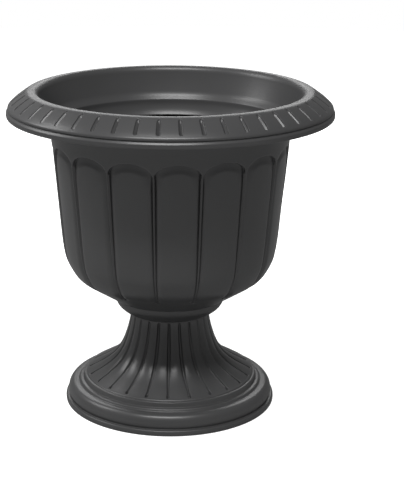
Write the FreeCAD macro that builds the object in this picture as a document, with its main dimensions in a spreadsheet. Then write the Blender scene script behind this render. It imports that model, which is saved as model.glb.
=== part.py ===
"""Urn planter: a lobed bowl that locks by a short turn into a fluted pedestal, with a lift-out drain plug.

Millimetres, +Z up. The origin is on the ground, on the axis of the urn. Angles are degrees from -Y
(the front of the urn) towards +X.
"""
import FreeCAD, Part
import math
import os
import Sketcher
from FreeCAD import Placement, Rotation, Vector

# Driving dimensions: radii from the axis, heights above the ground.
SIZES = {
    "rim_radius": 177.8,          # outermost edge of the rolled rim
    "urn_height": 355.6,          # crest of the rim
    "wall": 3.0,                  # moulded wall
    "parting_height": 103.6,      # the bowl's collar sits on the pedestal's neck here
    "mouth_radius": 145.3,        # inner edge of the crest
    "throat_radius": 127.6,       # inside of the plain band
    "shelf_radius": 135.4,        # outer edge of the narrow shelf inside the mouth
    "shelf_height": 324.9,
    "band_radius": 130.0,         # plain band above the lobes, outside
    "band_height": 301.0,         # tops of the arches
    "waist_radius": 117.4,        # ribs where the bowl turns under
    "waist_height": 178.0,
    "lobe_foot_radius": 94.0,     # where the lobes die into the smooth underside
    "lobe_foot_height": 141.5,
    "collar_radius": 61.4,        # rounded collar under the bowl
    "collar_height": 122.0,
    "collar_foot_radius": 46.4,
    "neck_radius": 44.1,          # top of the pedestal
    "shoulder_radius": 49.7,      # where the neck starts to flare
    "shoulder_height": 74.6,
    "flare_radius": 66.3,
    "flare_height": 48.3,
    "flute_edge_radius": 94.6,    # crisp lower edge of the fluted surface
    "flute_edge_height": 31.5,
    "torus_radius": 115.6,        # big round moulding of the foot
    "torus_height": 21.8,
    "foot_radius": 118.7,         # lip on the ground
    "lip_height": 6.0,
    "lobe_count": 16.0,
    "slot_count": 48.0,
    "flute_count": 24.0,
    "bowl_phase": 3.5,            # middle of the front lobe
    "flute_phase": -1.0,          # flute nearest the front
    "lobe_depth": 3.2,            # the lobes' edges lie this far under their crowns
    "rib_angle": 0.55,            # half the width of a rib, in degrees
    "arch_rise": 14.5,            # height of the rounded top of a lobe
    "slot_inner_radius": 155.6,   # slots in the rim's deck, their ends and how far under the crest
    "slot_inner_drop": 2.0,
    "slot_outer_radius": 172.6,
    "slot_outer_drop": 13.6,
    "slot_width": 3.6,
    "slot_depth": 2.0,
    "flute_radius": 2.2,
    "flute_end_radius": 91.0,
    "spigot_radius": 34.0,        # sleeve under the bowl that drops into the neck
    "spigot_depth": 15.6,
    "running_gap": 0.1,
    "socket_radius": 38.6,        # bore of the neck under its flange
    "flange_depth": 8.0,
    "lug_radius": 38.3,
    "lug_thick": 7.3,
    "lug_angle": 28.0,
    "notch_angle": 31.0,
    "lock_turn": 36.0,            # turn from the notches to the locked rest position
    "stop_angle": 5.0,
    "stop_gap_angle": 0.3,
    "drain_radius": 6.0,
    "plug_gap": 0.05,
    "plug_head_radius": 10.0,
    "plug_head_thick": 2.5,
    "plug_knob_radius": 4.0,
    "plug_knob_height": 9.0,
    "plug_length": 6.0,
}

LUGS = 3
doc = FreeCAD.newDocument("urn_planter")
sheet = doc.addObject("Spreadsheet::Sheet", "sizes")


def size(alias):
    return SIZES[alias]


def fill_sheet():
    for row, (alias, value) in enumerate(SIZES.items(), start=1):
        sheet.set("A%d" % row, alias)
        sheet.set("B%d" % row, str(value))
        sheet.setAlias("B%d" % row, alias)
    doc.recompute()


def term(alias, offset):
    """The expression for a named size plus a fixed step from it."""
    return "sizes.%s + (%g)" % (alias, offset) if alias else "%g" % offset


def value(alias, offset):
    return (size(alias) if alias else 0.0) + offset


def point(radius_alias, radius_step, height_alias, height_step):
    """A corner of an outline: each coordinate is a named size plus a step."""
    return (radius_alias, radius_step, height_alias, height_step)


def where(corner):
    return Vector(value(corner[0], corner[1]), value(corner[2], corner[3]), 0)


def draw_outline(sketch, start, steps):
    """Draw a closed outline. A step is (end,) for a line or (end, bulge) for an arc.

    bulge is how far the middle of the arc lies to the left of the straight line to its end.
    """
    corners = [start] + [step[0] for step in steps]
    edges = []
    for index, step in enumerate(steps):
        first = where(corners[index])
        last = where(corners[index + 1])
        if len(step) == 1:
            edges.append(sketch.addGeometry(Part.LineSegment(first, last), False))
            continue
        side = Vector(first.y - last.y, last.x - first.x, 0).normalize()
        middle = (first + last) * 0.5 + side * step[1]
        arc = Part.Arc(first, middle, last)
        edges.append(sketch.addGeometry(arc, False))
    ends = [edge_ends(sketch, edge, where(corners[index])) for index, edge in enumerate(edges)]
    for index, edge in enumerate(edges):
        following = (index + 1) % len(edges)
        sketch.addConstraint(Sketcher.Constraint("Coincident", edge, ends[index][1],
                                                 edges[following], ends[following][0]))
        if len(steps[index]) == 2:
            radius = sketch.Geometry[edge].Radius
            sketch.addConstraint(Sketcher.Constraint("Radius", edge, radius))
        bind(sketch, edge, ends[index][0], "X", corners[index][0], corners[index][1])
        bind(sketch, edge, ends[index][0], "Y", corners[index][2], corners[index][3])


def edge_ends(sketch, edge, first):
    """The point numbers of an edge's first and last ends: an arc may run the other way."""
    if (sketch.getPoint(edge, 1) - first).Length < 1e-6:
        return (1, 2)
    return (2, 1)


def bind(sketch, edge, end, direction, alias, step):
    """Hold one coordinate of an outline's corner at its named size."""
    if abs(value(alias, step)) < 1e-9:
        axis = -2 if direction == "X" else -1
        sketch.addConstraint(Sketcher.Constraint("PointOnObject", edge, end, axis))
        return
    held = Sketcher.Constraint("Distance" + direction, -1, 1, edge, end, value(alias, step))
    number = sketch.addConstraint(held)
    sketch.setExpression("Constraints[%d]" % number, term(alias, step))


def turned(name, start, steps):
    """A body made by turning an outline round the urn's axis."""
    body = doc.addObject("PartDesign::Body", name)
    sketch = body.newObject("Sketcher::SketchObject", name + "_outline")
    planes = [feature for feature in body.Origin.OriginFeatures if feature.Role == "XZ_Plane"]
    sketch.AttachmentSupport = [(planes[0], "")]
    sketch.MapMode = "FlatFace"
    draw_outline(sketch, start, steps)
    turn = body.newObject("PartDesign::Revolution", name + "_turn")
    turn.Profile = sketch
    turn.ReferenceAxis = (sketch, ["V_Axis"])
    turn.Angle = 360.0
    body.Tip = turn
    return body


def shape_object(name, shape):
    """An object for a form that no primitive or sketch feature gives."""
    feature = doc.addObject("Part::Feature", name)
    feature.Shape = shape
    return feature


def cut(name, base, tool):
    feature = doc.addObject("Part::Cut", name)
    feature.Base = base
    feature.Tool = tool
    feature.Refine = False
    return feature


def fuse(name, shapes):
    feature = doc.addObject("Part::MultiFuse", name)
    feature.Shapes = shapes
    feature.Refine = False
    return feature


def rotated(shape, degrees):
    copy = shape.copy()
    copy.rotate(Vector(0, 0, 0), Vector(0, 0, 1), degrees)
    return copy


def ring_of(shape, count, phase):
    """count copies of a shape that lies towards -Y, evenly spaced, the first one phase degrees round."""
    return Part.makeCompound([rotated(shape, phase + 360.0 * k / count) for k in range(int(count))])


# ------------------------------------------------------------------ bowl

def bowl_outside_turning():
    """Collar, underside, ribs, band and rim, as one solid without its hollow."""
    start = point("", 0, "parting_height", 0)
    steps = [
        (point("collar_foot_radius", 0, "parting_height", 0),),
        (point("collar_radius", 0, "collar_height", 0), -3.4),
        (point("collar_radius", 3.1, "collar_height", 0.8),),
        (point("lobe_foot_radius", 0, "lobe_foot_height", 0),),
        (point("waist_radius", 0, "waist_height", 0), -5.6),
        (point("waist_radius", 1.9, "waist_height", 17), -0.3),
        (point("band_radius", 0, "band_height", 0),),
        (point("band_radius", 1.2, "band_height", 17),),
        (point("shelf_radius", -1.0, "shelf_height", -2.6), 0.4),
        (point("mouth_radius", 3.5, "urn_height", -10.0),),
        (point("rim_radius", -9.8, "urn_height", -14.4),),
        (point("rim_radius", -5.6, "urn_height", -19.2),),
        (point("rim_radius", -3.0, "urn_height", -27.4),),
        (point("rim_radius", -0.4, "urn_height", -27.4),),
        (point("rim_radius", 0, "urn_height", -24.9),),
        (point("rim_radius", 0, "urn_height", -24.0),),
        (point("rim_radius", -1.3, "urn_height", -21.5), -0.6),
        (point("rim_radius", -2.2, "urn_height", -21.1),),
        (point("rim_radius", -2.2, "urn_height", -19.9),),
        (point("rim_radius", -1.7, "urn_height", -19.2),),
        (point("rim_radius", -4.4, "urn_height", -14.5), -0.8),
        (point("mouth_radius", 6.2, "urn_height", -0.5), -1.4),
        (point("mouth_radius", 1.6, "urn_height", -0.05), -0.2),
        (point("mouth_radius", -0.4, "urn_height", -2.4), -0.7),
        (point("", 0, "urn_height", -2.4),),
        (start,),
    ]
    return turned("bowl_outside_turning", start, steps)


def bowl_inside_turning():
    """The plain part of the hollow: floor, underside, band and mouth."""
    start = point("", 0, "parting_height", 3.0)
    steps = [
        (point("collar_foot_radius", -1.6, "parting_height", 3.0),),
        (point("collar_radius", -3.0, "collar_height", 1.0), -3.0),
        (point("collar_radius", 1.6, "collar_height", 3.4),),
        (point("lobe_foot_radius", -1.6, "lobe_foot_height", 2.5),),
        (point("waist_radius", -3.4, "waist_height", 2.0), -5.0),
        (point("throat_radius", -0.6, "band_height", 0),),
        (point("throat_radius", 0, "shelf_height", -5.0),),
        (point("throat_radius", 2.0, "shelf_height", -2.5), 0.4),
        (point("shelf_radius", 0, "shelf_height", 0),),
        (point("mouth_radius", -1.0, "urn_height", -10.0),),
        (point("mouth_radius", 0, "urn_height", -4.6),),
        (point("mouth_radius", 0, "urn_height", 10),),
        (point("", 0, "urn_height", 10),),
        (start,),
    ]
    return turned("bowl_inside_turning", start, steps)


def crown_line():
    """Points up the crown of a lobe: radius, height and how far its edges lie under it."""
    foot_radius = size("lobe_foot_radius")
    foot_height = size("lobe_foot_height")
    waist_radius = size("waist_radius")
    waist_height = size("waist_height")
    band_radius = size("band_radius")
    band_height = size("band_height")
    depth = size("lobe_depth")
    return [
        (foot_radius - 6.4, foot_height - 3.5, 0.3 * depth),
        (foot_radius + 0.7, foot_height + 0.2, 0.5 * depth),
        (foot_radius + 8.3, foot_height + 5.5, 0.9 * depth),
        (foot_radius + 13.6, foot_height + 11.5, 1.1 * depth),
        (waist_radius - 3.2, waist_height - 13, 1.2 * depth),
        (waist_radius + 0.7, waist_height, 1.2 * depth),
        (waist_radius + 2.8, waist_height + 17, 1.1 * depth),
        (0.5 * (waist_radius + band_radius) + 1.2, 0.5 * (waist_height + band_height) + 6, depth),
        (band_radius - 0.6, band_height, depth),
        (band_radius - 0.3, band_height + 5, depth),
    ]


def offset_line(line, distance):
    """The same line moved inwards, square to itself."""
    moved = []
    for index, (radius, height, depth) in enumerate(line):
        before = line[max(index - 1, 0)]
        after = line[min(index + 1, len(line) - 1)]
        along = Vector(after[0] - before[0], after[1] - before[1], 0).normalize()
        moved.append((radius - along.y * distance, height + along.x * distance, depth))
    return moved


def lobed_section(radius, height, depth):
    """A level outline of the lobes: one arc for each, meeting in a valley under every rib."""
    count = int(size("lobe_count"))
    step = math.radians(360.0 / count)
    phase = math.radians(size("bowl_phase"))
    edges = []
    for k in range(count):
        middle = phase + k * step
        first = on_circle(radius - depth, middle - step / 2, height)
        crown = on_circle(radius, middle, height)
        last = on_circle(radius - depth, middle + step / 2, height)
        edges.append(Part.Arc(first, crown, last).toShape())
    return Part.Wire(edges)


def on_circle(radius, angle, height):
    return Vector(radius * math.sin(angle), -radius * math.cos(angle), height)


def lobed_form(inset):
    """All the lobes as one upright fluted column, its surface moved inwards by inset."""
    line = offset_line(crown_line(), inset) if inset else crown_line()
    return Part.makeLoft([lobed_section(*station) for station in line], True, False)


def arch_window(half_angle, foot, spring, rise, near, far):
    """A wedge through the wall, as wide as a lobe, with a half-round top."""
    outlines = []
    for radius in (near, far):
        half = radius * math.tan(math.radians(half_angle))
        left_foot = Vector(-half, -radius, foot)
        right_foot = Vector(half, -radius, foot)
        left_spring = Vector(-half, -radius, spring)
        right_spring = Vector(half, -radius, spring)
        top = half_ellipse(half, rise, radius, spring)
        outlines.append(Part.Wire([
            Part.LineSegment(left_foot, right_foot).toShape(),
            Part.LineSegment(right_foot, right_spring).toShape(),
            top,
            Part.LineSegment(left_spring, left_foot).toShape(),
        ]))
    return Part.makeLoft(outlines, True, True)


def half_ellipse(half, rise, radius, spring):
    """The upper half of an ellipse that stands across -Y, as a spline so that two of them loft."""
    marks = [math.pi * k / 12 for k in range(13)]
    points = [Vector(half * math.cos(mark), -radius, spring + rise * math.sin(mark)) for mark in marks]
    curve = Part.BSplineCurve()
    curve.interpolate(points)
    return curve.toShape()


def arch_windows(grow):
    """The arched openings that the lobes fill, made larger all round by grow."""
    half_angle = 180.0 / size("lobe_count") - size("rib_angle")
    half_angle += math.degrees(grow / size("band_radius"))
    spring = size("band_height") - size("arch_rise")
    foot = size("lobe_foot_height") + 2.0 + grow
    near = size("spigot_radius")
    far = size("rim_radius")
    window = arch_window(half_angle, foot, spring, size("arch_rise") + grow, near, far)
    return ring_of(window, size("lobe_count"), size("bowl_phase"))


def rim_slots():
    """Short rounded slots that lie along the fall of the rim's deck."""
    inner = Vector(0, -size("slot_inner_radius"), size("urn_height") - size("slot_inner_drop"))
    outer = Vector(0, -size("slot_outer_radius"), size("urn_height") - size("slot_outer_drop"))
    along = (outer - inner).normalize()
    width = size("slot_width")
    length = (outer - inner).Length - width
    swell = 0.9                   # the deck is rounded and stands this far above its chord
    tall = 4.0 * size("slot_depth")
    start = Part.makeCylinder(width / 2, tall)
    finish = start.copy()
    finish.translate(Vector(0, -length, 0))
    middle = Part.makeBox(width, length, tall, Vector(-width / 2, -length, 0))
    slot = start.fuse([finish, middle]).removeSplitter()
    fall = math.degrees(math.atan2(-along.z, -along.y))
    slot.Placement = Placement(inner + along * (width / 2), Rotation(Vector(1, 0, 0), fall))
    across = Vector(0, along.z, -along.y)
    slot.translate(across * (swell - size("slot_depth")))
    return ring_of(slot, size("slot_count"), size("bowl_phase"))


def cylinder(name, radius, height, level, turn=0.0, angle=None):
    """A cylinder, or a sector of one, whose sizes are expressions on the sheet."""
    feature = doc.addObject("Part::Cylinder", name)
    feature.setExpression("Radius", radius)
    feature.setExpression("Height", height)
    if angle is not None:
        feature.setExpression("Angle", angle)
    feature.Placement = Placement(Vector(0, 0, 0), Rotation(Vector(0, 0, 1), turn))
    feature.setExpression("Placement.Base.z", level)
    return feature


def lock_lugs():
    """Three lugs round the foot of the spigot."""
    lugs = []
    for k in range(LUGS):
        turn = 360.0 * k / LUGS - size("lug_angle") / 2
        lug = cylinder("lug_%d" % (k + 1), "sizes.lug_radius", "sizes.lug_thick",
                       "sizes.parting_height - sizes.spigot_depth", turn, "sizes.lug_angle")
        lugs.append(lug)
    return lugs


def make_bowl():
    ribbed = cut("bowl_ribbed", bowl_outside_turning(), shape_object("lobe_windows", arch_windows(0.0)))
    outside = fuse("bowl_outside", [ribbed, shape_object("lobes_outside", lobed_form(0.0))])
    wall = size("wall")
    banded = cut("bowl_inside_banded", bowl_inside_turning(),
                 shape_object("lobe_windows_inside", arch_windows(wall)))
    inside = fuse("bowl_inside", [banded, shape_object("lobes_inside", lobed_form(wall))])
    shell = cut("bowl_shell", outside, inside)
    slotted = cut("bowl_slotted", shell, shape_object("rim_slots", rim_slots()))
    spigot = cylinder("spigot", "sizes.spigot_radius", "sizes.spigot_depth + 1",
                      "sizes.parting_height - sizes.spigot_depth")
    solid = fuse("bowl_with_spigot", [slotted, spigot] + lock_lugs())
    bore = cylinder("spigot_bore", "sizes.spigot_radius - sizes.wall", "sizes.spigot_depth + 1",
                    "sizes.parting_height - sizes.spigot_depth - 1")
    bored = cut("bowl_bored", solid, bore)
    drain = cylinder("drain_hole", "sizes.drain_radius", "sizes.wall + 2", "sizes.parting_height - 1")
    return cut("bowl", bored, drain)


# ------------------------------------------------------------------ pedestal

def pedestal_turning():
    """The hollow foot: ground lip, torus, beads, flared neck and the flange inside its top."""
    gap = size("running_gap")
    flange = size("flange_depth")
    start = point("foot_radius", -0.3, "", 0)
    steps = [
        (point("foot_radius", 0, "lip_height", -2.0),),
        (point("foot_radius", -3.1, "lip_height", 0), -0.9),
        (point("torus_radius", -0.6, "lip_height", 1.8),),
        (point("torus_radius", -9.6, "torus_height", 0), -5.2),
        (point("torus_radius", -12.4, "torus_height", 0),),
        (point("torus_radius", -16.0, "torus_height", 2.9), -1.0),
        (point("torus_radius", -17.4, "torus_height", 3.8),),
        (point("flute_edge_radius", 0.5, "flute_edge_height", -0.9), -1.4),
        (point("flute_edge_radius", 0, "flute_edge_height", 0),),
        (point("flare_radius", 0, "flare_height", 0), 0.8),
        (point("shoulder_radius", 0, "shoulder_height", 0), 3.0),
        (point("neck_radius", 0, "parting_height", 0), 1.0),
        (point("spigot_radius", gap, "parting_height", 0),),
        (point("spigot_radius", gap, "parting_height", -flange),),
        (point("socket_radius", 0, "parting_height", -flange),),
        (point("socket_radius", 0, "shoulder_height", 6.0),),
        (point("shoulder_radius", -4.2, "shoulder_height", -4.0), -0.6),
        (point("flare_radius", -2.2, "flare_height", -3.4), -2.4),
        (point("flute_edge_radius", -3.6, "flute_edge_height", -4.0), -0.8),
        (point("torus_radius", -18.0, "torus_height", -3.2),),
        (point("torus_radius", -9.6, "torus_height", -3.4),),
        (point("torus_radius", -3.6, "lip_height", 3.6), 2.8),
        (point("foot_radius", -3.4, "lip_height", -2.0),),
        (point("foot_radius", -3.4, "", 0),),
        (start,),
    ]
    return turned("pedestal_turning", start, steps)


def flute_path():
    """The middle line of a flute, from the top of the neck down to its rounded end near the edge."""
    radii_and_heights = [
        (size("neck_radius") + 0.6, size("parting_height") - 1.0),
        (size("neck_radius") + 2.3, size("parting_height") - 14.0),
        (size("shoulder_radius") + 0.4, size("shoulder_height")),
        (size("flare_radius") - 9.2, size("flare_height") + 11.0),
        (size("flare_radius") + 0.2, size("flare_height") + 0.3),
        (size("flare_radius") + 12.8, size("flare_height") - 7.8),
        (size("flute_end_radius"), size("flute_edge_height") + 2.1),
    ]
    curve = Part.BSplineCurve()
    curve.interpolate([Vector(0, -radius, height) for radius, height in radii_and_heights])
    return curve


def flutes():
    """Round grooves down the neck and foot."""
    curve = flute_path()
    radius = size("flute_radius")
    top = curve.value(curve.FirstParameter)
    bottom = curve.value(curve.LastParameter)
    section = Part.Wire(Part.makeCircle(radius, top, curve.tangent(curve.FirstParameter)[0]))
    groove = Part.Wire(curve.toShape()).makePipeShell([section], True, False)
    along = curve.tangent(curve.LastParameter)[0]
    outwards = Vector(0, along.z, -along.y)
    end = Part.makeCylinder(1.15 * radius, 3 * radius, bottom - outwards * radius, outwards)
    return ring_of(groove.fuse(end), size("flute_count"), size("flute_phase"))


def lock_notches():
    """Gaps in the neck's flange that let the lugs through."""
    notches = []
    for k in range(LUGS):
        turn = 360.0 * k / LUGS + size("lock_turn") - size("notch_angle") / 2
        notch = cylinder("notch_%d" % (k + 1), "sizes.socket_radius", "sizes.flange_depth + 2",
                         "sizes.parting_height - sizes.flange_depth - 1", turn, "sizes.notch_angle")
        notches.append(notch)
    return notches


def lock_stops():
    """Ribs under the flange that end the lugs' turn."""
    stops = []
    for k in range(LUGS):
        turn = 360.0 * k / LUGS - size("lug_angle") / 2 - size("stop_angle") - size("stop_gap_angle")
        block = cylinder("stop_block_%d" % (k + 1), "sizes.socket_radius + 1", "sizes.lug_thick + 0.5",
                         "sizes.parting_height - sizes.spigot_depth", turn, "sizes.stop_angle")
        core = cylinder("stop_core_%d" % (k + 1), "sizes.spigot_radius + sizes.running_gap",
                        "2 * sizes.spigot_depth", "sizes.parting_height - 2 * sizes.spigot_depth")
        stops.append(cut("stop_%d" % (k + 1), block, core))
    return stops


def make_pedestal():
    fluted = cut("pedestal_fluted", pedestal_turning(), shape_object("flute_cutters", flutes()))
    notched = cut("pedestal_notched", fluted, fuse("lock_notches", lock_notches()))
    return fuse("pedestal", [notched] + lock_stops())


# ------------------------------------------------------------------ drain plug

def make_plug():
    """A stopper with a knob: its disc lies on the floor and its shank closes the hole."""
    gap = size("plug_gap")
    floor = size("wall")
    tip = floor - size("plug_length")
    head_top = floor + size("plug_head_thick")
    knob_top = head_top + size("plug_knob_height")
    start = point("", 0, "parting_height", tip)
    steps = [
        (point("drain_radius", -1.0, "parting_height", tip),),
        (point("drain_radius", -gap, "parting_height", tip + 2.0),),
        (point("drain_radius", -gap, "parting_height", floor),),
        (point("plug_head_radius", 0, "parting_height", floor),),
        (point("plug_head_radius", -0.6, "parting_height", head_top),),
        (point("plug_knob_radius", -1.0, "parting_height", head_top),),
        (point("plug_knob_radius", -1.0, "parting_height", knob_top - 3.0),),
        (point("plug_knob_radius", 0, "parting_height", knob_top - 1.5),),
        (point("plug_knob_radius", -1.0, "parting_height", knob_top),),
        (point("", 0, "parting_height", knob_top),),
        (start,),
    ]
    return turned("drain_plug", start, steps)


# ------------------------------------------------------------------ build

def check(objects):
    for feature in doc.Objects:
        if "Invalid" in feature.State or "Error" in feature.State:
            raise RuntimeError("%s could not be built: %s" % (feature.Name, feature.State))
    for feature in objects:
        if feature.Shape.isNull() or not feature.Shape.isValid():
            raise RuntimeError("%s has no valid shape" % feature.Name)


def main():
    fill_sheet()
    nodes = {"bowl": make_bowl(), "pedestal": make_pedestal(), "drain_plug": make_plug()}
    doc.recompute()
    check(nodes.values())
    os.makedirs("parts", exist_ok=True)
    for label, feature in nodes.items():
        feature.Label = label
        feature.Shape.exportStep("parts/%s.step" % label)
        box = feature.Shape.optimalBoundingBox()
        print("%-12s %d solid %10.1f mm3  z %.2f to %.2f  r %.2f" % (
            label, len(feature.Shape.Solids), feature.Shape.Volume, box.ZMin, box.ZMax, box.XMax))


if __name__ == "__main__":
    main()
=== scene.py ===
"""Urn planter in moulded charcoal resin: lobed bowl, rolled rim, fluted pedestal.

Outlines are written in millimetres, as (radius, height), and scaled to metres when a mesh is made.
Angles go round from -Y, the front of the urn, towards +X.
"""
import math

import bpy
import numpy as np
from mathutils import Matrix, Vector


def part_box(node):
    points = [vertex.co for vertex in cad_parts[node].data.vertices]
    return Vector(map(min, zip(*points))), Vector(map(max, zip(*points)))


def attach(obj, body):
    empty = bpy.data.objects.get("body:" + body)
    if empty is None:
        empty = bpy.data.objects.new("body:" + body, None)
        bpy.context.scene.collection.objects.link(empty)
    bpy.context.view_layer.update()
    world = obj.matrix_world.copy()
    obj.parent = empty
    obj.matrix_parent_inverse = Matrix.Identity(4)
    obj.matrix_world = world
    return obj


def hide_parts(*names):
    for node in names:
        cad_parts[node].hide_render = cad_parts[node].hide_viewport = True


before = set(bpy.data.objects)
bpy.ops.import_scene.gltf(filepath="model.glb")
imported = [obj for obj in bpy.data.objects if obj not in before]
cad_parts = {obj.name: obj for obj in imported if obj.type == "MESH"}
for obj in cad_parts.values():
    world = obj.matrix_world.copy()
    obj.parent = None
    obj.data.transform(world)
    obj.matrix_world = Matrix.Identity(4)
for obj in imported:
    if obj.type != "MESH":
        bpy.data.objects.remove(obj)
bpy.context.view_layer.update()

MM = 0.001
TURN = 2.0 * math.pi

# ------------------------------------------------------------------ sizes in mm, angles in radians

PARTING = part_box("pedestal")[1][2] / MM        # height where bowl and pedestal meet, from the frame
WALL = 3.0
INNER_OFFSET = 2.95            # from the crown line to the inside of the wall

LOBES = 16
BOWL_PHASE = math.radians(3.5)
RIB_HALF = math.radians(0.42)
ARCH_SPRING = 286.5
ARCH_RISE = 14.5
ARCH_RADIUS = 129.0            # radius of the wall where the arches stand
ARCH_GATHER = 14.0             # height below the springing over which the rings bend to the arches
ARCH_ROWS = 22
ARCH_ROW_EASE = 1.6
ARCH_STRETCH = 5.0             # most that the steep sides of an arch widen its bank
BAND_ROWS = 7
INNER_ARCH_DROP = 3.0
LOBE_FOOT = 142.0

LOBE_DEPTH = 2.8               # of a lobe's edge under its crown, and how much less it is at the arch
LOBE_DEPTH_EASE = 1.2
LOBE_ROUND = 8.0               # reach of the rounding at a lobe's sides, and of the scoop at its arch
LOBE_SCOOP = 16.0
RIB_SWELL = 0.7
RIB_SINK = 1.0
RIB_FOOT_SINK = 1.6
RIB_BANK = 0.45
INNER_LOBE_DEPTH = 2.9
INNER_LOBE_DEPTH_EASE = 1.0
INNER_LOBE_ROUND = 9.0
INNER_RIB_BANK = 0.8
INNER_BAND_SWELL = 0.7
INNER_BAND_SINK = 3.1

SLOTS = 48
SLOT_INNER = 155.6
SLOT_OUTER = 173.0
SLOT_WIDTH = 4.6
SLOT_EDGE = 0.7                # height of the small step round a slot, and the width it takes
SLOT_EDGE_WIDTH = 0.3
SLOT_FLOOR_SLOPE = 0.6
SLOT_WALL_SLOPE = 0.95
SLOT_INNER_TAPER = 3.8
SLOT_OUTER_TAPER = 1.2
DECK_LEAN = (0.55, 0.83)       # radius and height parts of the direction square to the deck

FLUTES = 24
FLUTE_PHASE = math.radians(-1.0)
FLUTE_END_RADIUS = 92.6
FLUTE_EDGE_MARK = 0.42         # the flute mark that lies on a flute's edge
FLUTE_DEPTH = 2.0
FLUTE_DOT_DEPTH = 1.6

LUGS = 3
FIRST_LUG = math.pi / 2
LUG_HALF = math.radians(14.0)
LUG_EDGE = math.radians(0.6)
LUG_REACH = 4.3
LOCK_TURN = math.radians(36.0)
NOTCH_HALF = math.radians(15.5)
STOP_ANGLE = math.radians(5.0)
STOP_GAP = math.radians(0.3)
SPIGOT_RADIUS = 34.0
FLANGE_BORE = 34.1
SOCKET_RADIUS = 38.6

SPIGOT_POINTS = 240            # points in a plain ring
COLLAR_POINTS = 288
MOUTH_POINTS = 360
NECK_POINTS = 360
EDGE_POINTS = 480


# ------------------------------------------------------------------ outlines

def smooth_line(knots, step):
    """A natural cubic spline through (radius, height) knots, sampled about every step mm."""
    knots = np.array(knots, float)
    gaps = np.hypot(*np.diff(knots, axis=0).T)
    at = np.concatenate([[0.0], np.cumsum(gaps)])
    count = len(knots)
    matrix = np.eye(count)
    right = np.zeros((count, 2))
    for i in range(1, count - 1):
        matrix[i, i - 1] = gaps[i - 1]
        matrix[i, i] = 2.0 * (gaps[i - 1] + gaps[i])
        matrix[i, i + 1] = gaps[i]
        right[i] = 6.0 * ((knots[i + 1] - knots[i]) / gaps[i] - (knots[i] - knots[i - 1]) / gaps[i - 1])
    bend = np.linalg.solve(matrix, right)
    samples = max(2, int(math.ceil(at[-1] / step)) + 1)
    line = []
    for t in np.linspace(0.0, at[-1], samples):
        i = min(int(np.searchsorted(at, t, side="right")) - 1, count - 2)
        a = (at[i + 1] - t) / gaps[i]
        b = (t - at[i]) / gaps[i]
        cubic = ((a ** 3 - a) * bend[i] + (b ** 3 - b) * bend[i + 1]) * gaps[i] ** 2 / 6.0
        line.append(a * knots[i] + b * knots[i + 1] + cubic)
    return np.array(line)


def rounded_line(corners, steps=4):
    """Straight runs through (radius, height, fillet) corners, each corner rounded by its fillet."""
    line = [np.array(corners[0][:2], float)]
    for before, corner, after in zip(corners, corners[1:], corners[2:]):
        here = np.array(corner[:2], float)
        back = np.array(before[:2], float) - here
        on = np.array(after[:2], float) - here
        reach = min(corner[2], 0.45 * np.linalg.norm(back), 0.45 * np.linalg.norm(on))
        start = here + back / np.linalg.norm(back) * reach
        finish = here + on / np.linalg.norm(on) * reach
        for t in np.linspace(0.0, 1.0, steps):
            line.append((1 - t) ** 2 * start + 2 * t * (1 - t) * here + t ** 2 * finish)
    line.append(np.array(corners[-1][:2], float))
    return np.array(line)


def ramp(x, low, high):
    """0 below low, 1 above high, smooth between."""
    t = np.clip((np.asarray(x, float) - low) / (high - low), 0.0, 1.0)
    return t * t * (3.0 - 2.0 * t)


# ------------------------------------------------------------------ meshes of rings

class Rings:
    """A closed surface made of rings round the axis. Neighbouring rings may differ in their counts."""

    def __init__(self):
        self.points = []
        self.faces = []
        self.rings = []
        self.total = 0

    def add(self, angles, radii, heights):
        angles, radii, heights = np.broadcast_arrays(angles, radii, heights)
        ring = np.column_stack([radii * np.sin(angles), -radii * np.cos(angles), heights]) * MM
        start = self.total
        self.points.append(ring)
        self.total += len(ring)
        if self.rings:
            self.join(self.rings[-1], (start, angles))
        self.rings.append((start, angles))

    def join(self, lower, upper):
        """Faces between two rings: quads where they match, else triangles in order of angle."""
        start_a, angles_a = lower
        start_b, angles_b = upper
        count_a, count_b = len(angles_a), len(angles_b)
        if count_a == count_b and np.max(np.abs(angles_a - angles_b)) < TURN / count_a:
            here = np.arange(count_a)
            following = (here + 1) % count_a
            quads = np.column_stack([start_a + here, start_a + following,
                                     start_b + following, start_b + here])
            self.faces.extend(quads.tolist())
            return
        i = j = 0
        base = angles_a[0]
        turns_a = np.append(angles_a - base, TURN)
        beyond = (angles_b - base + 1e-9) % TURN
        first = int(np.argmin(beyond))
        turns_b = np.roll(beyond, -first)
        turns_b = np.append(turns_b, turns_b[0] + TURN)
        while i < count_a or j < count_b:
            a, b = start_a + i % count_a, start_b + (first + j) % count_b
            if j >= count_b or (i < count_a and turns_a[i + 1] <= turns_b[j + 1]):
                self.faces.append([a, start_a + (i + 1) % count_a, b])
                i += 1
            else:
                self.faces.append([a, start_b + (first + j + 1) % count_b, b])
                j += 1

    def add_round(self, line, count, phase=0.0):
        """Plain round rings through the (radius, height) points of a line."""
        for radius, height in line:
            self.add(even_angles(count, phase), radius, height)

    def close(self):
        self.join(self.rings[-1], self.rings[0])

    def mesh(self, name, flipped=False):
        """The mesh of all rings. Faces point outwards when the rings go up outside and down inside."""
        data = bpy.data.meshes.new(name)
        data.from_pydata(np.concatenate(self.points).tolist(), [], self.faces)
        data.validate()
        if flipped:
            data.flip_normals()
        data.shade_smooth()
        piece = bpy.data.objects.new(name, data)
        bpy.context.scene.collection.objects.link(piece)
        return piece


def even_angles(count, phase=0.0):
    return phase + TURN * np.arange(count) / count


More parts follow.
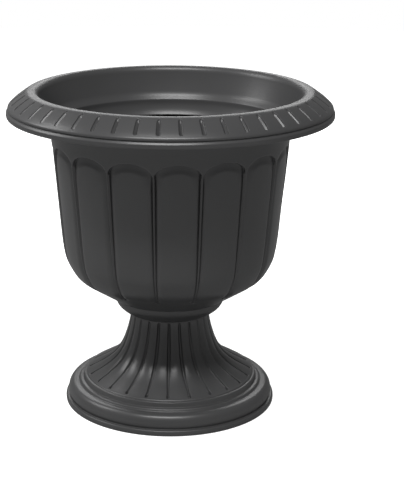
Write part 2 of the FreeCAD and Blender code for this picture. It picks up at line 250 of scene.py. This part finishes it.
def repeated_angles(half_marks, repeats, phase):
    """Angles for one repeat, given as marks from 0 to half of it, mirrored and carried all round."""
    half_marks = np.asarray(half_marks)
    one = np.concatenate([-half_marks[:0:-1], half_marks])
    one = one[:-1] if abs(one[-1] + one[0]) < 1e-9 and abs(one[-1] - math.pi / repeats) < 1e-9 else one
    return np.concatenate([phase + TURN * k / repeats + one for k in range(repeats)])


# ------------------------------------------------------------------ bowl

SHOULDER_FOOT = 301.5          # the lobed part of the inside ends here
CROWN = [
    (64.5, 122.9), (72.2, 127.7), (80.0, 132.6), (87.0, 137.1), (94.2, 141.7), (98.6, 144.5), (102.6, 147.4),
    (107.7, 153.0), (111.3, 159.0), (114.2, 165.0), (116.5, 171.0), (118.0, 178.0), (119.2, 186.0),
    (120.2, 195.0), (121.1, 205.0), (122.8, 225.0), (124.5, 245.0), (126.2, 265.0), (127.9, 285.0),
    (129.2, 301.0), (129.6, 306.0),
]
LOBE_MARKS_MM = [0.0, 2.5, 5.0, 7.5, 10.0, 12.2, 14.2, 16.0, 17.6, 19.0, 20.2, 21.2, 22.0, 22.6, 23.1, 23.5,
                 23.8, 24.0, 24.15, 24.4, 24.8, 25.32]


def lobe_angles():
    marks = np.array(LOBE_MARKS_MM) / LOBE_MARKS_MM[-1] * math.pi / LOBES
    return repeated_angles(marks, LOBES, BOWL_PHASE)


def from_lobe_middle(angles):
    step = TURN / LOBES
    return np.abs((angles - BOWL_PHASE + step / 2) % step - step / 2)


def arch_line(angles, radius, grow=0.0):
    """Height of the arched edge of a lobe at each angle; under a rib it is where the arch springs."""
    half = (math.pi / LOBES - RIB_HALF) * radius + grow
    across = np.clip(from_lobe_middle(angles) * radius / half, 0.0, 1.0)
    return ARCH_SPRING + (ARCH_RISE + grow) * np.sqrt(1.0 - across ** 2)


def inside_lobe(angles, radius, heights, grow=0.0):
    """Distance in mm from a lobe's outline, positive inside it."""
    half = (math.pi / LOBES - RIB_HALF) * radius + grow
    across = from_lobe_middle(angles) * radius
    up = np.clip((heights - ARCH_SPRING) / (ARCH_RISE + grow), 0.0, None)
    value = (across / half) ** 2 + up ** 2 - 1.0
    slope = 2.0 * np.hypot(across / half ** 2, up / (ARCH_RISE + grow)) + 1e-4
    return -value / slope


def lobe_relief(angles, radius, heights):
    """How far the outside stands out from the crown line: rounded lobe edges, ribs and band."""
    depth_in = inside_lobe(angles, radius, heights)
    top = ramp(heights, ARCH_SPRING - 2.0, ARCH_SPRING + ARCH_RISE)
    foot = ramp(heights, LOBE_FOOT - 0.6, LOBE_FOOT + 0.8)
    depth = (LOBE_DEPTH - LOBE_DEPTH_EASE * top) * foot
    side = np.clip(1.0 - depth_in / LOBE_ROUND, 0.0, 1.0) ** 2.2
    scoop = np.clip(1.0 - depth_in / LOBE_SCOOP, 0.0, 1.0) ** 1.5
    shoulder = side + (scoop - side) * ramp(heights, ARCH_SPRING - 12.0, ARCH_SPRING + 8.0)
    rib = RIB_SWELL * ramp(heights, 225.0, 275.0) - RIB_SINK * (1.0 - ramp(heights, 165.0, 215.0))
    rib = rib - RIB_FOOT_SINK * (1.0 - ramp(heights, LOBE_FOOT + 1.5, LOBE_FOOT + 4.5))
    bank = ramp(-depth_in, 0.0, RIB_BANK)
    return np.where(depth_in > 0.0, -depth * shoulder, (rib * foot + depth) * bank - depth)


def inner_relief(angles, radius, heights):
    """The same lobes seen from inside: the wall bulges in behind the grooves and ribs."""
    depth_in = inside_lobe(angles, radius, heights + INNER_ARCH_DROP, grow=WALL)
    top = ramp(heights, ARCH_SPRING, ARCH_SPRING + ARCH_RISE)
    foot = ramp(heights, LOBE_FOOT + 2.0, LOBE_FOOT + 14.0)
    depth = (INNER_LOBE_DEPTH - INNER_LOBE_DEPTH_EASE * top) * foot
    shoulder = np.clip(1.0 - depth_in / INNER_LOBE_ROUND, 0.0, 1.0) ** 2
    bank = ramp(-depth_in, 0.0, INNER_RIB_BANK)
    band = INNER_BAND_SWELL - INNER_BAND_SINK * ramp(heights, 293.0, SHOULDER_FOOT)
    return np.where(depth_in > 0.0, -depth * shoulder, (band + depth) * bank - depth)


def add_lobed_wall(rings, line, relief, grow, drop):
    """Rings up the lobed wall. Near the top they bend to follow the arches."""
    angles = lobe_angles()
    gather = ARCH_SPRING - drop - ARCH_GATHER
    for radius, height in line[line[:, 1] < gather]:
        rings.add(angles, radius + relief(angles, radius, np.full(len(angles), height)), height)
    edge = arch_line(angles, ARCH_RADIUS, grow) - drop
    slope = np.gradient(edge, angles * ARCH_RADIUS)
    stretch = np.clip(np.hypot(1.0, slope), 1.0, ARCH_STRETCH)
    climb = 1.0 - (1.0 - np.linspace(0.0, 1.0, ARCH_ROWS)[:, None]) ** ARCH_ROW_EASE
    below = gather + (edge - 0.02 - gather) * climb
    bank = edge + stretch * np.array([0.12, 0.25, 0.38, 0.52])[:, None]
    top = line[-1][1]
    share = np.linspace(0.0, 1.0, BAND_ROWS)[1:, None]
    above = bank[-1] + (np.maximum(top, bank[-1] + 0.5) - bank[-1]) * share
    for row in np.vstack([below, bank, above]):
        radius = np.interp(row, line[:, 1], line[:, 0])
        rings.add(angles, radius + relief(angles, radius, row), row)


SLOT_MARKS_MM = [0.0, 0.1, 0.4, 0.9, 1.4, 1.8, 1.98, 2.04, 2.26, 2.32, 2.7, 3.3]
DECK = [
    (151.4, 355.46), (154.0, 354.95), (157.7, 353.0), (161.0, 350.75), (165.0, 347.9), (169.0, 344.9),
    (172.3, 342.1), (173.0, 341.45),
]


def slot_angles(radius):
    """Angles whose marks beside each slot keep their distance in mm at any radius."""
    half_pitch = math.pi / SLOTS * radius
    near = np.array(SLOT_MARKS_MM)
    far = near[-1] + (half_pitch - near[-1]) * np.linspace(0.0, 1.0, 6)[1:]
    return repeated_angles(np.concatenate([near, far]) / radius, SLOTS, BOWL_PHASE)


def slot_relief(angles, radius):
    """Depth of the slots in the rim's deck: a small step, then walls that slope to the middle."""
    step = TURN / SLOTS
    across = np.abs((angles - BOWL_PHASE + step / 2) % step - step / 2) * radius
    half = SLOT_WIDTH / 2
    inner = half / SLOT_INNER_TAPER * (SLOT_INNER + SLOT_INNER_TAPER - radius)
    outer = half / SLOT_OUTER_TAPER * (radius - SLOT_OUTER + SLOT_OUTER_TAPER)
    distance = np.minimum(np.hypot(across, max(inner, outer, 0.0)), half)
    bend = (SLOT_WALL_SLOPE - SLOT_FLOOR_SLOPE) / (2 * half)
    edge = SLOT_EDGE * np.clip((half - distance) / SLOT_EDGE_WIDTH, 0.0, 1.0)
    return -edge - (half - distance) * SLOT_FLOOR_SLOPE - (half ** 2 - distance ** 2) * bend


def deck_rows():
    """The deck's line from the crest outwards, sampled closely where the slots' ends are."""
    line = smooth_line(DECK, 0.1)
    radii = np.concatenate([
        np.linspace(DECK[0][0], SLOT_INNER - 0.4, 5), np.linspace(SLOT_INNER - 0.2, SLOT_INNER + 4.6, 15),
        np.linspace(SLOT_INNER + 5.6, SLOT_OUTER - 2.6, 6), np.linspace(SLOT_OUTER - 1.8, SLOT_OUTER, 9),
    ])
    return np.column_stack([radii, np.interp(radii, line[:, 0], line[:, 1])])


def spigot_radius(angles, height):
    """The spigot with its three lugs."""
    step = TURN / LUGS
    turn = np.abs((angles - FIRST_LUG + step / 2) % step - step / 2)
    lug = 1.0 - ramp(turn, LUG_HALF - LUG_EDGE, LUG_HALF)
    return SPIGOT_RADIUS + LUG_REACH * lug * (1.0 - ramp(height, 94.7, 95.3))


def collar_line():
    """The rounded collar, from the parting upwards to the smooth underside."""
    return np.vstack([
        rounded_line([(38.0, PARTING), (45.4, PARTING, 0.6), (47.5, 104.3)]),
        smooth_line([(49.4, 105.3), (52.4, 107.1), (56.4, 110.4), (59.3, 114.3), (60.9, 118.6)], 1.2),
        rounded_line([(61.3, 120.4), (61.5, 122.5, 0.8), (60.9, 123.2, 0.3), (64.7, 122.7, 0.4),
                      (66.5, 124.2)]),
    ])


def outer_wall_line():
    """The crown line of the lobes. Rows are left out where the wall is nearly straight."""
    crown = smooth_line(CROWN, 0.7)
    crown = crown[crown[:, 0] > 67.5]
    keep = (crown[:, 1] < 150.0) | (crown[:, 1] > 284.0) | (np.arange(len(crown)) % 3 == 0)
    return crown[keep]


def rim_line():
    """The underside of the rolled rim and the two beads at its edge."""
    return np.vstack([
        rounded_line([
            (130.5, 308.0), (131.4, 318.8, 2.5), (134.4, 322.3, 1.8), (147.8, 344.4, 4.0),
            (169.0, 341.2, 3.0), (173.8, 336.4, 2.0), (174.9, 328.9, 0.5), (175.9, 328.2, 0.4),
            (177.0, 328.2, 0.5), (177.75, 329.4, 1.0), (177.78, 331.2),
        ], 5),
        rounded_line([
            (177.78, 331.5), (177.78, 332.9, 0.9), (176.0, 335.05, 0.3), (175.3, 335.3, 0.3),
            (175.3, 336.0, 0.3), (175.9, 336.4),
        ], 4),
        smooth_line([
            (176.1, 336.8), (175.95, 337.9), (175.35, 339.05), (174.35, 340.15), (173.4, 341.05),
        ], 0.4),
    ])


def mouth_line():
    """Over the crest and down inside: the sloping throat, the shelf and the shoulder under it."""
    return np.vstack([
        smooth_line([
            (150.6, 355.52), (149.4, 355.57), (148.0, 355.52), (146.4, 355.0), (144.9, 353.7),
            (143.7, 352.0), (142.9, 350.1), (142.4, 348.4),
        ], 0.5),
        rounded_line([(142.3, 347.9), (133.9, 325.0, 4.0), (129.3, 319.2, 2.6), (129.0, 317.6)], 9),
        smooth_line([(128.9, 316.8), (128.4, 314.0), (127.2, 310.2), (125.2, 305.9), (122.6, 302.0)], 0.8),
    ])


def inner_wall_line():
    """The inside of the lobed wall, from the well upwards."""
    wall = [(radius - INNER_OFFSET, height) for radius, height in CROWN if height > 155.0]
    bottom = [(62.0, 125.6), (78.4, 135.1), (92.2, 143.9), (98.5, 148.6), (104.6, 154.9)]
    line = smooth_line(bottom + wall[1:], 1.6)
    return line[line[:, 1] < SHOULDER_FOOT]


def well_line():
    """The well in the bowl's floor, the drain hole and the inside of the spigot."""
    return rounded_line([
        (61.0, 125.0), (58.4, 122.6, 1.5), (57.4, 117.5, 3.0), (52.5, 110.8, 3.0), (46.0, 106.7, 2.0),
        (40.0, 106.6, 2.0), (6.0, 106.6, 0.3), (6.0, 103.6, 0.2), (31.0, 103.6, 0.5), (31.0, 88.0, 0.3),
        (33.0, 88.0),
    ], 4)


def make_bowl():
    rings = Rings()
    lug_ring = even_angles(SPIGOT_POINTS, FIRST_LUG)
    for height in (88.0, 91.0, 94.0, 94.7, 95.0, 95.3, 97.0, 103.6):
        rings.add(lug_ring, spigot_radius(lug_ring, height), height)
    rings.add_round(collar_line(), COLLAR_POINTS)
    add_lobed_wall(rings, outer_wall_line(), lobe_relief, 0.0, 0.0)
    rings.add_round(rim_line(), EDGE_POINTS)
    for radius, height in deck_rows()[::-1]:
        angles = slot_angles(radius)
        depth = slot_relief(angles, radius)
        rings.add(angles, radius + DECK_LEAN[0] * depth, height + DECK_LEAN[1] * depth)
    rings.add_round(mouth_line(), MOUTH_POINTS)
    wall = Rings()
    add_lobed_wall(wall, inner_wall_line(), inner_relief, WALL, INNER_ARCH_DROP)
    for points, (start, angles) in list(zip(wall.points, wall.rings))[::-1]:
        flat = points / MM
        rings.add(angles, np.hypot(flat[:, 0], flat[:, 1]), flat[:, 2])
    rings.add_round(well_line(), SPIGOT_POINTS, FIRST_LUG)
    rings.close()
    piece = rings.mesh("bowl_shell")
    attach(piece, "bowl")
    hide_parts("bowl")
    return piece


# ------------------------------------------------------------------ pedestal

FLARE = [
    (44.1, 103.5), (44.4, 98.5), (45.6, 91.0), (47.5, 82.5), (49.8, 74.6), (52.2, 67.9), (55.7, 60.6),
    (60.4, 54.2), (66.4, 48.4), (72.5, 43.9), (78.9, 40.1), (85.3, 36.6), (91.7, 33.1), (94.3, 31.7),
]
FLUTE_MARKS = [0.0, 0.10, 0.20, 0.28, 0.34, 0.385, 0.42, 0.45, 0.49, 0.56, 0.66, 0.78, 0.9, 1.0]


def flute_half_width(radius):
    """Half the width of a flute in mm: widest at mid height, narrow towards its lower end."""
    return np.interp(radius, [44.0, 50.0, 60.0, 75.0, 86.0, 90.0, 92.6], [1.7, 2.2, 2.3, 1.9, 1.5, 1.9, 1.8])


def flute_depth(radius, height):
    """Depth of a flute at its middle: it fades in under the collar and ends in a deeper round dot."""
    start = 1.0 - ramp(height, 99.0, 102.5)
    end = 1.0 - ramp(radius, FLUTE_END_RADIUS - 1.0, FLUTE_END_RADIUS)
    dot = FLUTE_DOT_DEPTH * ramp(radius, FLUTE_END_RADIUS - 5.0, FLUTE_END_RADIUS - 2.5)
    return (FLUTE_DEPTH + dot) * start * end


def strip_bulge(radius):
    """How far the strips between the flutes swell in mm."""
    return np.interp(radius, [44.0, 48.0, 60.0, 80.0, 88.0, 92.6], [0.0, 0.3, 0.5, 0.6, 0.3, 0.0])


def add_socket(rings):
    """The bore of the neck upwards: the socket, the stops, the notched flange and the parting face."""
    neck_ring = even_angles(NECK_POINTS, FIRST_LUG)
    for radius, height in [(42.8, 74.0), (SOCKET_RADIUS, 80.6), (SOCKET_RADIUS, 88.0)]:
        rings.add(neck_ring, radius, height)
    for height in (88.1, 92.0, 95.2):
        rings.add(neck_ring, stop_radius(neck_ring), height)
    flange = [(SOCKET_RADIUS, 95.3), (36.0, 95.6), (FLANGE_BORE, 95.7), (FLANGE_BORE, 103.2), (34.6, 103.6)]
    for radius, height in flange:
        rings.add(neck_ring, notch_radius(neck_ring, radius), height)
    for radius in (40.0, 43.6):
        rings.add(neck_ring, radius, PARTING)


def flare_rows():
    """The flare's line, sampled more closely where the flutes end, and its unit tangents."""
    line = smooth_line(FLARE, 1.1)
    dense = smooth_line([(radius, height) for radius, height in FLARE if radius > 85.0], 0.3)
    line = np.vstack([line[line[:, 0] < 87.0], dense[dense[:, 0] > 87.3]])
    tangent = np.gradient(line, axis=0)
    tangent /= np.hypot(*tangent.T)[:, None]
    return line, tangent


def add_flutes(rings):
    """The fluted neck and flare, from the parting down to the foot."""
    step = TURN / FLUTES
    marks = np.array(FLUTE_MARKS) * math.pi / FLUTES
    for (radius, height), along in zip(*flare_rows()):
        half = flute_half_width(radius)
        scale = np.interp(marks / marks[-1], [0.0, FLUTE_EDGE_MARK, 1.0],
                          [0.0, half / radius, math.pi / FLUTES])
        angles = repeated_angles(scale, FLUTES, FLUTE_PHASE)
        across = np.abs((angles - FLUTE_PHASE + step / 2) % step - step / 2) * radius
        hollow = np.clip(1.0 - (across / half) ** 2, 0.0, None)
        reach = step / 2 * radius - half
        bulge = strip_bulge(radius) * (1.0 - (np.clip(across - half, 0.0, None) / reach - 1.0) ** 2)
        depth = flute_depth(radius, height) * hollow - bulge
        rings.add(angles, radius + depth * along[1], height - depth * along[0])


def foot_line():
    """The two small beads, the torus, the lip on the ground and the hollow inside the pedestal."""
    return np.vstack([
        rounded_line([
            (94.4, 31.6), (94.9, 31.2, 0.3), (95.0, 30.5, 0.3), (97.4, 30.1, 1.8), (98.2, 25.6, 0.5),
            (98.6, 24.7, 0.4), (102.1, 24.4, 1.6), (103.3, 22.2, 0.5), (103.9, 21.7, 0.4),
            (106.2, 21.8, 0.5),
        ], 5),
        smooth_line([
            (106.6, 21.75), (110.1, 21.1), (112.9, 19.0), (114.8, 15.8), (115.6, 12.2), (115.4, 9.0),
            (114.9, 7.2),
        ], 0.6),
        rounded_line([
            (114.9, 6.8), (115.0, 6.1, 0.3), (117.6, 5.9, 0.9), (118.7, 4.2, 1.2), (118.7, 1.6, 0.5),
            (118.4, 0.0, 0.5), (115.4, 0.0, 0.4), (115.3, 4.0, 0.5), (112.0, 9.6, 2.0), (111.6, 13.0, 2.0),
            (106.0, 18.4, 2.0), (97.6, 18.6, 1.0), (91.0, 27.5, 2.0), (64.2, 44.9, 8.0), (50.0, 60.0, 8.0),
            (43.6, 73.0),
        ], 5),
    ])


def make_pedestal():
    rings = Rings()
    add_socket(rings)
    add_flutes(rings)
    rings.add_round(foot_line(), EDGE_POINTS)
    rings.close()
    piece = rings.mesh("pedestal_shell", flipped=True)
    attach(piece, "pedestal")
    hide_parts("pedestal")
    return piece


def beside_lug(angles, middle):
    """Signed turn of each angle from the nearest of three places, one of them middle past the first lug."""
    step = TURN / LUGS
    return (angles - FIRST_LUG - middle + step / 2) % step - step / 2


def stop_radius(angles):
    """Bore under the flange, with the ribs that end the lugs' turn."""
    turn = beside_lug(angles, -LUG_HALF - STOP_GAP - STOP_ANGLE / 2)
    return np.where(np.abs(turn) < STOP_ANGLE / 2, FLANGE_BORE, SOCKET_RADIUS)


def notch_radius(angles, radius):
    """Bore of the flange, opened to the socket's radius at the three notches."""
    turn = beside_lug(angles, LOCK_TURN)
    return np.where(np.abs(turn) < NOTCH_HALF, np.maximum(radius, SOCKET_RADIUS), radius)


# ------------------------------------------------------------------ materials

WHITE = (1.0, 1.0, 1.0, 1.0)
FLOW_SCALE = 9.0               # flow marks: size of the pattern, and how far they vary tint and gloss
TINT_SWING = 0.08
GLOSS_SWING = 0.03
GRAIN_SCALE = 900.0
GRAIN_HEIGHT = 0.0002          # in metres
SHEEN_BASE = 0.015             # share of the glossy skin face on, and how it grows at grazing angles
SHEEN_RISE = 0.055
SHEEN_POWER = 4.0


def resin(name, colour, roughness, grain):
    """Semi-matte moulded plastic: fine grain, faint flow marks and a slightly uneven gloss."""
    material = bpy.data.materials.new(name)
    material.use_nodes = True
    nodes = material.node_tree.nodes
    links = material.node_tree.links
    shader = nodes["Principled BSDF"]
    shader.inputs["Metallic"].default_value = 0.0
    shader.inputs["Roughness"].default_value = 0.8
    shader.inputs["Specular IOR Level"].default_value = 0.0
    sheen = nodes.new("ShaderNodeBsdfAnisotropic")
    sheen.inputs["Color"].default_value = WHITE
    place = nodes.new("ShaderNodeTexCoord")
    cloud = nodes.new("ShaderNodeTexNoise")
    cloud.inputs["Scale"].default_value = FLOW_SCALE
    cloud.inputs["Detail"].default_value = 5.0
    links.new(place.outputs["Object"], cloud.inputs["Vector"])
    tint = nodes.new("ShaderNodeValToRGB")
    tint.color_ramp.elements[0].position = 0.3
    tint.color_ramp.elements[1].position = 0.7
    tint.color_ramp.elements[0].color = [(1.0 - TINT_SWING) * c for c in colour] + [1.0]
    tint.color_ramp.elements[1].color = [(1.0 + TINT_SWING) * c for c in colour] + [1.0]
    links.new(cloud.outputs["Fac"], tint.inputs["Fac"])
    links.new(tint.outputs["Color"], shader.inputs["Base Color"])
    gloss = nodes.new("ShaderNodeMapRange")
    gloss.inputs["To Min"].default_value = roughness - GLOSS_SWING
    gloss.inputs["To Max"].default_value = roughness + GLOSS_SWING
    links.new(cloud.outputs["Fac"], gloss.inputs["Value"])
    links.new(gloss.outputs["Result"], sheen.inputs["Roughness"])
    skin = nodes.new("ShaderNodeTexNoise")
    skin.inputs["Scale"].default_value = GRAIN_SCALE
    skin.inputs["Detail"].default_value = 3.0
    links.new(place.outputs["Object"], skin.inputs["Vector"])
    bump = nodes.new("ShaderNodeBump")
    bump.inputs["Strength"].default_value = grain
    bump.inputs["Distance"].default_value = GRAIN_HEIGHT
    links.new(skin.outputs["Fac"], bump.inputs["Height"])
    links.new(bump.outputs["Normal"], shader.inputs["Normal"])
    links.new(bump.outputs["Normal"], sheen.inputs["Normal"])
    weight = nodes.new("ShaderNodeLayerWeight")
    weight.inputs["Blend"].default_value = 0.5
    steep = nodes.new("ShaderNodeMath")
    steep.operation = "POWER"
    steep.inputs[1].default_value = SHEEN_POWER
    share = nodes.new("ShaderNodeMath")
    share.operation = "MULTIPLY_ADD"
    share.inputs[1].default_value = SHEEN_RISE
    share.inputs[2].default_value = SHEEN_BASE
    blend = nodes.new("ShaderNodeMixShader")
    links.new(weight.outputs["Facing"], steep.inputs[0])
    links.new(steep.outputs["Value"], share.inputs[0])
    links.new(share.outputs["Value"], blend.inputs["Fac"])
    links.new(shader.outputs["BSDF"], blend.inputs[1])
    links.new(sheen.outputs["BSDF"], blend.inputs[2])
    links.new(blend.outputs["Shader"], nodes["Material Output"].inputs["Surface"])
    return material


def dress(piece, material):
    piece.data.materials.clear()
    piece.data.materials.append(material)


# ------------------------------------------------------------------ studio

CAMERA_PLACE = (0.0, -1.4902, 0.6317)
CAMERA_PITCH = math.radians(17.123)
CAMERA_ROLL = math.radians(0.2)
FOCAL_PIXELS = 1394.2
FRAME_PIXELS = (404, 500)
AXIS_PIXEL = (170.05, 250.5)
SENSOR_MM = 36.0

# Azimuth and elevation in degrees, distance, width and height in metres, power in watts.
SOFTBOXES = {
    "key": (-8.0, 63.5, 2.4, 1.3, 0.3, 88.0),
    "left_box": (-100.0, 38.0, 1.2, 0.35, 0.5, 12.0),
    "back_box": (-180.0, 29.0, 1.7, 1.3, 0.5, 30.0),
}
AIM_POINT = (0.0, 0.0, 0.2)
FILL_STRENGTH = 0.07
FLOOR_RADIUS = 3.0
FLOOR_HEIGHT = -0.0005
# The floor's own glow: distances from the axis in metres, and the strength at each. The weaker glow near the
# urn is painted shade round its foot, added to the real shadow on the floor's diffuse paint.
GLOW_REACH = (0.2, 0.8)
GLOW_STRENGTH_PAINTED_SHADE = (0.70, 1.0)


def make_camera():
    data = bpy.data.cameras.new("camera")
    data.sensor_fit = "VERTICAL"
    data.sensor_width = SENSOR_MM
    data.sensor_height = SENSOR_MM
    data.lens = FOCAL_PIXELS / FRAME_PIXELS[1] * data.sensor_height
    data.shift_x = (FRAME_PIXELS[0] / 2 - AXIS_PIXEL[0]) / FRAME_PIXELS[1]
    data.shift_y = (AXIS_PIXEL[1] - FRAME_PIXELS[1] / 2) / FRAME_PIXELS[1]
    camera = bpy.data.objects.new("camera", data)
    camera.location = CAMERA_PLACE
    level = Matrix.Rotation(math.pi / 2 - CAMERA_PITCH, 3, "X")
    camera.rotation_euler = (level @ Matrix.Rotation(CAMERA_ROLL, 3, "Z")).to_euler()
    bpy.context.scene.collection.objects.link(camera)
    bpy.context.scene.camera = camera


def aimed(azimuth, elevation, distance):
    """A place that far from the middle of the urn, and the middle itself. Azimuth 0 is the front."""
    across = math.radians(azimuth)
    up = math.radians(elevation)
    way = np.array([math.sin(across) * math.cos(up), -math.cos(across) * math.cos(up), math.sin(up)])
    middle = np.array(AIM_POINT)
    return middle + distance * way, middle


def make_softbox(name, place, target, width, height, power):
    data = bpy.data.lights.new(name, "AREA")
    data.shape = "RECTANGLE"
    data.size = width
    data.size_y = height
    data.energy = power
    light = bpy.data.objects.new(name, data)
    light.location = place
    aim = Vector((target - place).tolist())
    light.rotation_euler = aim.to_track_quat("-Z", "Y").to_euler()
    bpy.context.scene.collection.objects.link(light)


def camera_ray_mix(nodes, links, seen, unseen, output, socket):
    """Shows one shader to the camera, glossy and transmission rays, and the other to the rest."""
    path = nodes.new("ShaderNodeLightPath")
    total = path.outputs["Is Camera Ray"]
    for ray in ("Is Glossy Ray", "Is Transmission Ray"):
        either = nodes.new("ShaderNodeMath")
        either.operation = "MAXIMUM"
        links.new(total, either.inputs[0])
        links.new(path.outputs[ray], either.inputs[1])
        total = either.outputs["Value"]
    mix = nodes.new("ShaderNodeMixShader")
    links.new(total, mix.inputs["Fac"])
    links.new(unseen, mix.inputs[1])
    links.new(seen, mix.inputs[2])
    links.new(mix.outputs["Shader"], output.inputs[socket])


def make_world():
    world = bpy.data.worlds.new("studio")
    bpy.context.scene.world = world
    world.use_nodes = True
    nodes = world.node_tree.nodes
    links = world.node_tree.links
    nodes.clear()
    output = nodes.new("ShaderNodeOutputWorld")
    white = nodes.new("ShaderNodeBackground")
    white.inputs["Color"].default_value = WHITE
    white.inputs["Strength"].default_value = 1.0
    grey = nodes.new("ShaderNodeBackground")
    grey.inputs["Color"].default_value = WHITE
    grey.inputs["Strength"].default_value = FILL_STRENGTH
    camera_ray_mix(nodes, links, white.outputs["Background"], grey.outputs["Background"], output, "Surface")


def make_floor():
    bpy.ops.mesh.primitive_circle_add(vertices=128, radius=FLOOR_RADIUS, fill_type="NGON",
                                      location=(0.0, 0.0, FLOOR_HEIGHT))
    floor = bpy.context.object
    floor.name = "floor"
    material = bpy.data.materials.new("pale_floor")
    material.use_nodes = True
    nodes = material.node_tree.nodes
    links = material.node_tree.links
    nodes.clear()
    output = nodes.new("ShaderNodeOutputMaterial")
    glow = nodes.new("ShaderNodeEmission")
    glow.inputs["Color"].default_value = WHITE
    place = nodes.new("ShaderNodeTexCoord")
    away = nodes.new("ShaderNodeVectorMath")
    away.operation = "LENGTH"
    # The glow grows with distance from the axis, so the floor next to the foot carries painted shade.
    rise = nodes.new("ShaderNodeMapRange")
    rise.inputs["From Min"].default_value = GLOW_REACH[0]
    rise.inputs["From Max"].default_value = GLOW_REACH[1]
    rise.inputs["To Min"].default_value = GLOW_STRENGTH_PAINTED_SHADE[0]
    rise.inputs["To Max"].default_value = GLOW_STRENGTH_PAINTED_SHADE[1]
    links.new(place.outputs["Object"], away.inputs[0])
    links.new(away.outputs["Value"], rise.inputs["Value"])
    links.new(rise.outputs["Result"], glow.inputs["Strength"])
    paint = nodes.new("ShaderNodeBsdfDiffuse")
    paint.inputs["Color"].default_value = (0.5, 0.5, 0.5, 1.0)
    lit = nodes.new("ShaderNodeAddShader")
    links.new(glow.outputs["Emission"], lit.inputs[0])
    links.new(paint.outputs["BSDF"], lit.inputs[1])
    camera_ray_mix(nodes, links, lit.outputs["Shader"], paint.outputs["BSDF"], output, "Surface")
    floor.data.materials.append(material)


def main():
    charcoal = resin("charcoal_resin", (0.030, 0.030, 0.0305), 0.33, 0.25)
    black = resin("plug_plastic", (0.02, 0.02, 0.02), 0.5, 0.3)
    dress(make_bowl(), charcoal)
    dress(make_pedestal(), charcoal)
    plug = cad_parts["drain_plug"]
    for slot in plug.material_slots:
        slot.material = black
    make_camera()
    make_world()
    make_floor()
    for name, (azimuth, elevation, distance, width, height, power) in SOFTBOXES.items():
        make_softbox(name, *aimed(azimuth, elevation, distance), width, height, power)
    bpy.context.scene.view_settings.view_transform = "Standard"


main()
